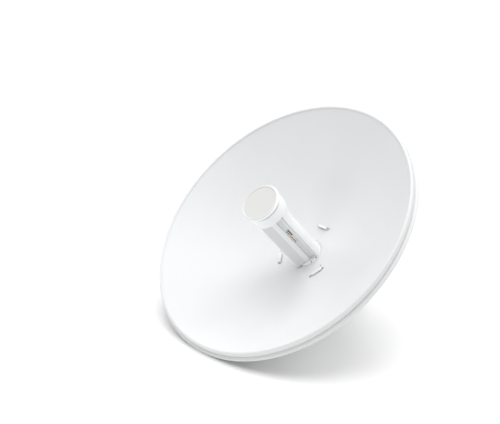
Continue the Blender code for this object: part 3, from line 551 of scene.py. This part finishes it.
def make_cap():
    front = CAP_FRONT
    back = CAP_FRONT + CAP_HEIGHT
    recess = 0.0011
    profile = [
        (0, front + recess),
        (CAP_R - 0.0038, front + recess),
        (CAP_R - 0.0031, front + 0.0001),
        (CAP_R - 0.0017, front),
        (CAP_R - 0.0010, front + 0.0011),
        (CAP_R, front + 0.0020),
        (CAP_R, back - 0.0012),
        (CAP_R - 0.0008, back),
        (CAP_R - 0.0030, back),
        (CAP_R - 0.0030, front + 0.0030),
        (0, front + 0.0030),
    ]
    cap = turned("cap_shape", fillet(profile, 0.0008, closed=False, steps=5), closed=False)
    piece = make_piece("feed_front_cap", cap, "cap_plastic", "feed", ["feed_cap"], sharp=50)
    piece.data.materials.append(MATERIALS["cap_bead_painted_highlight"])
    piece.data.materials.append(MATERIALS["feed_plastic"])
    # Faces out past CAP_R - 0.0033 take the lighter copy of the cap plastic, a painted highlight on the bead; the
    # outer side wall past CAP_R - 0.0009 takes the white feed plastic.
    for face in piece.data.polygons:
        spot = TO_ROW.inverted() @ face.center
        radius = math.hypot(spot.x, spot.z)
        face.material_index = int(radius > CAP_R - 0.0033) + int(radius > CAP_R - 0.0009)
    front = back + GAP
    ring = [
        (DRUM_R - 0.0022, front),
        (DRUM_R - 0.0010, front),
        (DRUM_R - 0.0010, front + SEAL_THICK),
        (DRUM_R - 0.0022, front + SEAL_THICK),
    ]
    seal = turned("seal_shape", fillet(ring, 0.0004))
    make_piece("cap_gasket", seal, "seal_rubber", "feed", ["cap_seal"])


def make_tube():
    front = CAP_FRONT + CAP_HEIGHT + GAP + SEAL_THICK + GAP
    neck_r = DRUM_R - TUBE_R
    neck_length = 0.045
    steps = 28
    neck = []
    for i in range(1, steps + 1):
        share = i / steps
        neck.append((TUBE_R + neck_r * (1 - share) ** 2.2, DRUM_BACK + neck_length * share))
    outside = [(DRUM_R - 0.0005, front), (DRUM_R, front + 0.0006), (DRUM_R, DRUM_BACK - 0.001)] + neck
    inside = [(r - TUBE_WALL, depth) for r, depth in outside]
    spigot = [
        (TUBE_R, TUBE_BACK),
        (SPIGOT_R, TUBE_BACK + 0.0006),
        (SPIGOT_R, SPIGOT_BACK - 0.0006),
        (SPIGOT_R - 0.0006, SPIGOT_BACK),
        (SPIGOT_R - TUBE_WALL, SPIGOT_BACK),
        (SPIGOT_R - TUBE_WALL, TUBE_BACK + 0.001),
        (TUBE_R - TUBE_WALL, TUBE_BACK - 0.002),
    ]
    tube = turned("tube_shape", outside + spigot + inside[::-1])
    underside = block("tube_underside", (-0.04, DRUM_BACK, -0.04), (0.04, TUBE_BACK, SHELL_EDGE_Z))
    window = block("jack_window", (-0.0087, 0.0835, -0.04), (0.0087, 0.0985, -0.012))
    cut(tube, underside)
    for side in (-1, 1):
        outline = [(side * 0.0172, DRUM_BACK - 0.0010), (side * (DRUM_R - 0.0010), DRUM_BACK - 0.0010)]
        outline += [(side * (r - 0.0010), depth) for r, depth in neck] + [(side * 0.0172, neck[-1][1])]
        floor_z = SHELL_EDGE_Z + 0.0006
        join(tube, plate(f"neck_floor_{side}", [outline], 0.0012, (0, 0, floor_z), FLAT))
    rim = SPIGOT_R - TUBE_WALL + 0.0006
    top = math.degrees(math.asin(SHELL_EDGE_Z / rim))
    outline = arc((0, 0), rim, 180 - top, 360 + top, 72)
    outline += [(0.0112, SHELL_EDGE_Z), (0.0052, -0.0140), (-0.0052, -0.0140), (-0.0112, SHELL_EDGE_Z)]
    thick = 0.0014
    join(tube, plate("end_wall", [outline], thick, (0, TUBE_BACK + 0.0002 + thick / 2, 0), ACROSS_AXIS))
    cut(tube, window)
    make_piece("feed_shell", tube, "feed_plastic", "feed", ["feed_tube"])
    # Black plates flush on the tube's foot paint the shade inside two small notches.
    for number, angle in enumerate(NOTCH_ANGLES, 1):
        spot = arc((0, 0), SPIGOT_R - 0.0010, angle, angle, 1)[0]
        outline = arc(spot, 0.0014, angle, angle + 240, 2)
        notch = plate(f"notch_{number}", [outline], 0.0005, (0, 0, 0), ACROSS_AXIS)
        notch.matrix_world = Matrix.Translation((0, TUBE_BACK + 0.0001, 0)) @ notch.matrix_world
        make_piece(f"latch_notch_shade_{number}", notch, "print_ink_and_painted_shade", "feed")


def flank(out, up):
    """A point of the tube cover's section: out from the tube's axis, and up along the flank."""
    normal = Vector((math.cos(FLANK_TILT), -math.sin(FLANK_TILT)))
    rise = Vector((math.sin(FLANK_TILT), math.cos(FLANK_TILT)))
    return tuple(normal * out + rise * up)


def make_tube_cover():
    wall = 0.0020
    crest = 0.0020
    keel = (0.00245, -0.0255)
    ledge_z = SHELL_EDGE_Z - 0.0002
    ledge_out = TUBE_R - 0.0002
    lip_out = TUBE_R - TUBE_WALL - 0.0010
    outside = [
        keel,
        flank(FLANK_OUT, -0.0098),
        flank(FLANK_OUT + crest, -0.0023),
        flank(FLANK_OUT, -0.0017),
        (0.0133, ledge_z - 0.0010),
        (ledge_out, ledge_z - 0.0010),
        (ledge_out, ledge_z),
        (lip_out, ledge_z),
        (lip_out, ledge_z + 0.0024),
    ]
    inside = [
        (lip_out - wall, ledge_z + 0.0024),
        (lip_out - wall, ledge_z + 0.0010),
        (0.0133 - wall, ledge_z + 0.0010),
        flank(FLANK_OUT - wall, -0.0017),
        flank(FLANK_OUT - wall, -0.0098),
        (0.0012, keel[1] + wall + 0.0004),
    ]
    half = outside + inside
    outline = fillet(half + [(-u, v) for u, v in reversed(half)], 0.0005, steps=3)
    front = DRUM_BACK + GAP
    back = TUBE_BACK - 0.0003
    cover = plate("cover_shape", [outline], back - front, (0, (front + back) / 2, 0), ACROSS_AXIS)
    cut(cover, bar_in_flank("lights_window", LIGHTS_ALONG, 0.0003, 0.0030, 0.010))
    piece = make_piece("feed_keel_cover", cover, "cover_plastic", "feed", ["feed_cover"], sharp=25)
    paint_band_highlights(piece)


def paint_band_highlights(piece):
    """Paints highlights: the raised band on each flank takes a lighter copy of the cover plastic, and faces turned
    straight down, the ledge under the shell among them, take the white feed plastic.
    """
    rise = Vector(flank(FLANK_OUT + 0.0020, -0.0023)) - Vector(flank(FLANK_OUT, -0.0098))
    looks = {1: [Vector((side * rise.y, 0, -rise.x)) for side in (-1, 1)], 2: [Vector((0, 0, -1))]}
    # Painted highlight: faces turned like the raised bands get the lighter band plastic, and faces turned straight
    # down get the white feed plastic.
    piece.data.materials.append(MATERIALS["cover_band_painted_highlight"])
    piece.data.materials.append(MATERIALS["feed_plastic"])
    for index, directions in looks.items():
        for direction in directions:
            facing = TURN.to_3x3() @ direction.normalized()
            for face in piece.data.polygons:
                if face.normal.dot(facing) > math.cos(math.radians(5)):
                    face.material_index = index


def bar_in_flank(name, along, up, width, thickness, proud=0.0):
    """A bar lying in the cover's +X flank, along the tube, its face proud of the flank by a little."""
    first, last = along
    across = flank(FLANK_OUT - thickness / 2 + proud, up)

    def build(work):
        size = Matrix.Diagonal((thickness, last - first, width, 1.0))
        bmesh.ops.create_cube(work, size=1.0, matrix=size)

    where = (across[0], (first + last) / 2, across[1])
    return add_shape(name, mesh_from(name, build), where, Matrix.Rotation(FLANK_TILT, 4, "Y"))


LIGHTS = ("light_green", "light_green", "light_orange", "light_red", "light_green", "light_green")


def make_lights():
    first, last = LIGHTS_ALONG
    strip = bar_in_flank("strip_shape", (first + GAP, last - GAP), 0.0003, 0.0024, 0.0020, 0.00005)
    soften(strip, 0.0002, 2)
    make_piece("light_guide", strip, "light_lens", "feed", ["light_strip"])
    pitch = (last - first) / len(LIGHTS)
    for number, slot in enumerate(LIGHTS, 1):
        start = first + pitch * (number - 1) + 0.0009
        along = (start, start + pitch - 0.0018)
        lamp = bar_in_flank(f"lamp_shape_{number}", along, 0.0003, 0.0019, 0.0006, 0.0003)
        soften(lamp, 0.0002, 2)
        piece = make_piece(f"status_light_{number}", lamp, slot, "feed")
    mark = bar_in_flank("mark_shape", (first, first + 0.0135), 0.0029, 0.0017, 0.0003, 0.00015)
    make_piece("status_mark", mark, "print_ink_and_painted_shade", "feed")
    for number in range(3):
        start = last - 0.0062 + number * 0.0022
        tick = bar_in_flank(f"tick_shape_{number}", (start, start + 0.0011), 0.0028, 0.0012, 0.0003, 0.00015)
        make_piece(f"status_tick_{number + 1}", tick, "mark_grey", "feed")


# ---- the rear housing ------------------------------------------------------------------------------


def make_collar():
    profile = [
        (0.0209, 0.0770),
        (0.0222, 0.0770),
        (0.0222, 0.0790),
        (0.0300, 0.0790),
        (0.0300, 0.0804),
        (0.0209, 0.0804),
    ]
    collar = turned("collar_shape", fillet(profile, 0.0003))
    make_piece("hub_ring", collar, "housing_plastic", "dish", ["hub_collar"])


def behind_dish(radius):
    r, depth = bowl_back(radius)
    return (r, depth + HOUSING_CLEAR)


def screw_places(depth):
    angles = [math.radians(a) for a in SCREW_ANGLES]
    return [(SCREW_CIRCLE_R * math.cos(a), depth, SCREW_CIRCLE_R * math.sin(a)) for a in angles]


def make_hook(name):
    """A bayonet hook: a post through the dish's slot and a head that grips the dish's face."""
    face = bowl_depth(SLOT_R)
    outline = [
        (-0.0095, face + 0.0060),
        (-0.0095, face - 0.0032),
        (0.0070, face - 0.0032),
        (0.0070, face - 0.0010),
        (-0.0030, face - 0.0010),
        (-0.0030, face + 0.0060),
    ]
    return plate(name, [fillet(outline, 0.0008)], 0.0032, (0, 0, 0), FLAT)


def make_housing():
    front_wall = [behind_dish(r) for r in (0.0310, 0.0380, 0.0450, 0.0525, 0.0600)]
    outside = [
        (HOUSING_R - 0.0015, 0.0722),
        (HOUSING_R, 0.0740),
        (HOUSING_R, HOUSING_STEP),
        (HOUSING_BACK_R, HOUSING_BACK),
        (HOUSING_BACK_R - WALL, HOUSING_BACK),
        (HOUSING_R - WALL, HOUSING_STEP),
        (HOUSING_R - WALL, 0.0765),
    ]
    inside = [(r, depth + WALL + 0.0006) for r, depth in reversed(front_wall[:3])]
    socket = [(SOCKET_R + WALL, 0.0840), (SOCKET_R + WALL, 0.1070), (SOCKET_R, 0.1070)]
    profile = [(SOCKET_R, 0.0808), (0.0310, 0.0808)] + front_wall + outside + inside + socket
    housing = turned("housing_shape", fillet(profile, 0.0010))
    for number, angle in enumerate(SLOT_ANGLES):
        hook = make_hook(f"hook_{number}")
        set_about_axis(hook, SLOT_R, angle)
        join(housing, hook)
    join(housing, rods("bosses", screw_places(0.0934), 0.0040, 0.0300, (0, 1, 0)))
    cut(housing, rods("boss_bores", screw_places(0.1050), 0.0018, 0.0200, (0, 1, 0)))
    cut(housing, block("port_opening", (-PORT_WIDTH / 2, 0.0852, -0.080), (PORT_WIDTH / 2, 0.0970, -0.012)))
    first, last = BUTTON_DEPTHS
    half = BUTTON_HEIGHT / 2 + 0.0005
    for side in (-1, 1):
        x = sorted((side * 0.045, side * 0.080))
        low, high = (x[0], first - 0.0005, -half), (x[1], last + 0.0005, half)
        cut(housing, block(f"button_window_{side}", low, high))
        y, z = DOOR_PIN
        ear = arc((y, z), 0.0022, 180, 360, 16) + [(y + 0.0022, z + 0.0045), (y - 0.0022, z + 0.0045)]
        join(housing, plate(f"door_ear_{side}", [ear], 0.0030, (side * 0.010, 0, 0), SIDE_ON))
    cut(housing, rods("ear_bores", [(0, *DOOR_PIN)], 0.0014, 0.040, (1, 0, 0)))
    make_piece("rear_shell", housing, "housing_plastic", "dish", ["rear_housing"], sharp=28)


def make_back_cover():
    front = HOUSING_BACK + GASKET_THICK + 2 * GAP
    profile = [
        (0, COVER_FACE - 0.003),
        (0.0440, COVER_FACE - 0.003),
        (0.0490, front + 0.0035),
        (HOUSING_BACK_R - WALL, front),
        (HOUSING_BACK_R, front),
        (HOUSING_BACK_R - 0.0012, front + 0.0035),
        (HOUSING_BACK_R - 0.0050, front + 0.0075),
        (0.0455, COVER_FACE),
        (0, COVER_FACE),
    ]
    cover = turned("back_shape", fillet(profile, 0.0030, closed=False, steps=6), closed=False)
    pivot = (PIVOT.y, PIVOT.z)
    lock = (PIVOT.y, PIVOT.z - LOCK_REACH)
    outline = [(COVER_FACE - 0.0015, pivot[1] + 0.0120)]
    outline += arc(pivot, 0.008, 90, 0, 14)
    outline += arc(lock, 0.008, 0, -90, 14)
    outline += [(COVER_FACE - 0.0015, lock[1] - 0.0120)]
    for side in (-1, 1):
        lug = plate(f"lug_{side}", [outline], 0.006, (side * (LUG_X[0] + LUG_X[1]) / 2, 0, 0), SIDE_ON)
        soften(lug, 0.0006)
        join(cover, lug)
    cut(cover, rods("pivot_bore", [(0, *pivot)], 0.0044, 0.080, (1, 0, 0)))
    cut(cover, rods("lock_bore", [(0, *lock)], 0.0034, 0.080, (1, 0, 0)))
    cut(cover, rods("cover_bores", screw_places(0.110), 0.0019, 0.020, (0, 1, 0)))
    make_piece("back_cover", cover, "housing_plastic", "dish", ["rear_cover"], sharp=28)
    front = HOUSING_BACK + GAP
    back = front + GASKET_THICK
    ring = [
        (HOUSING_BACK_R - WALL + 0.0002, front),
        (HOUSING_BACK_R - 0.0006, front),
        (HOUSING_BACK_R - 0.0006, back),
        (HOUSING_BACK_R - WALL + 0.0002, back),
    ]
    gasket = turned("gasket_shape", fillet(ring, 0.0003))
    make_piece("cover_gasket", gasket, "seal_rubber", "dish", ["housing_gasket"])


# ---- CAD nodes whose shape is right ----------------------------------------------------------------

EDGES = {
    "release_button_left": 0.0005,
    "release_button_right": 0.0005,
    "port_door": 0.0004,
    "pole_bracket": 0.0007,
    "pivot_bolt": 0.0004,
    "pivot_nut": 0.0004,
    "lock_bolt": 0.0003,
    "lock_nut": 0.0003,
    "pivot_washer_left": 0.0002,
    "pivot_washer_right": 0.0002,
    "lock_washer_left": 0.0002,
    "lock_washer_right": 0.0002,
    "cover_screw_1": 0.0003,
    "cover_screw_2": 0.0003,
    "cover_screw_3": 0.0003,
    "cover_screw_4": 0.0003,
    "pole_strap": 0.0001,
    "worm_housing": 0.0003,
    "worm_screw": 0.0003,
    "cable_grommet": 0.0003,
}


def dress_nodes():
    """Gives every CAD node still shown its material, and rounds the edges of those seen from outside."""
    slots = {part["node"]: part["material_slot"] for part in frame["record"]["subparts"]}
    for name, node in frame["nodes"].items():
        if node.hide_render:
            continue
        node.data.materials.clear()
        node.data.materials.append(MATERIALS[slots[name]])
        if "custom_normal" in node.data.attributes:
            node.data.attributes.remove(node.data.attributes["custom_normal"])
        node.data.shade_smooth()
        weld = node.modifiers.new("weld", "WELD")
        weld.merge_threshold = 0.000002
        flatten = node.modifiers.new("flatten", "DECIMATE")
        flatten.decimate_type = "DISSOLVE"
        flatten.angle_limit = math.radians(1)
        if name in EDGES:
            soften(node, EDGES[name], 2, 35)
        normals = node.modifiers.new("normals", "WEIGHTED_NORMAL")
        normals.keep_sharp = True
        node.data.set_sharp_from_angle(angle=math.radians(32))


# ---- the studio ------------------------------------------------------------------------------------

CAMERA_AZIMUTH = math.radians(50.0)
CAMERA_ELEVATION = math.radians(20.5)
CAMERA_DEPTH = 1.960
CAMERA_LENS = 100.3  # mm, on a 36 mm sensor
CENTRE_RIGHT = 0.0436  # how far the dish's centre stands right of the line of sight
CENTRE_BELOW = 0.0184


def make_camera():
    a, e = CAMERA_AZIMUTH, CAMERA_ELEVATION
    back = Vector((math.sin(a) * math.cos(e), -math.cos(a) * math.cos(e), math.sin(e)))
    right = Vector((math.cos(a), math.sin(a), 0))
    up = back.cross(right)
    data = bpy.data.cameras.new("camera")
    data.lens = CAMERA_LENS
    data.sensor_width = 36
    data.clip_start = 0.05
    data.clip_end = 60
    camera = bpy.data.objects.new("camera", data)
    bpy.context.scene.collection.objects.link(camera)
    spot = CENTRE - right * CENTRE_RIGHT + up * CENTRE_BELOW + back * CAMERA_DEPTH
    turn = Matrix((right, up, back)).transposed().to_4x4()
    camera.matrix_world = Matrix.Translation(spot) @ turn
    bpy.context.scene.camera = camera


def make_floor():
    def build(work):
        bmesh.ops.create_grid(work, x_segments=1, y_segments=1, size=20)

    floor = bpy.data.objects.new("floor", mesh_from("floor", build))
    bpy.context.scene.collection.objects.link(floor)
    material, nodes, links, shader = new_material("floor_paper", specular=0.1)
    vector = object_coordinates(nodes, links)
    fibre = add_noise(nodes, links, vector, 300, 2)
    fibred = remap(nodes, links, fibre, 0, 1)
    colour = blend_colours(nodes, links, fibred, (0.93, 0.93, 0.93), (0.95, 0.95, 0.95))
    links.new(colour, shader.inputs["Base Color"])
    shader.inputs["Roughness"].default_value = 0.9
    floor.data.materials.append(material)


def make_light(name, where, size, power, aim, colour=(1, 1, 1)):
    data = bpy.data.lights.new(name, "AREA")
    data.shape = "RECTANGLE"
    data.size, data.size_y = size
    data.energy = power
    data.color = colour
    light = bpy.data.objects.new(name, data)
    bpy.context.scene.collection.objects.link(light)
    where = Vector(where)
    turn = (Vector(aim) - where).to_track_quat("-Z", "Y").to_matrix().to_4x4()
    light.matrix_world = Matrix.Translation(where) @ turn


def make_studio():
    world = bpy.data.worlds.new("studio")
    world.use_nodes = True
    background = world.node_tree.nodes["Background"]
    background.inputs["Color"].default_value = (1.0, 1.0, 1.0, 1.0)
    background.inputs["Strength"].default_value = 0.56
    bpy.context.scene.world = world
    bpy.context.scene.view_settings.view_transform = "Standard"
    make_floor()
    aim = (0, 0, 0.12)
    make_light("overhead", (0.0, 0.0, 2.4), (2.2, 2.2), 44, aim)
    make_light("key", (1.2, 1.3, 1.6), (1.3, 1.3), 12, aim)
    make_light("side_fill", (-1.7, -0.9, 1.3), (0.7, 0.7), 4, aim)
    make_light("front_fill", (0.1, -2.1, 0.4), (0.5, 0.5), 2.5, aim)
    make_light("backdrop", (-2.4, 2.1, 1.7), (2.6, 2.6), 30, (-2.4, 2.1, 0))


make_camera()
make_studio()
make_reflector()
make_cap()
make_tube()
make_tube_cover()
make_lights()
make_collar()
make_housing()
make_back_cover()
dress_nodes()

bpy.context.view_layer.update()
import json
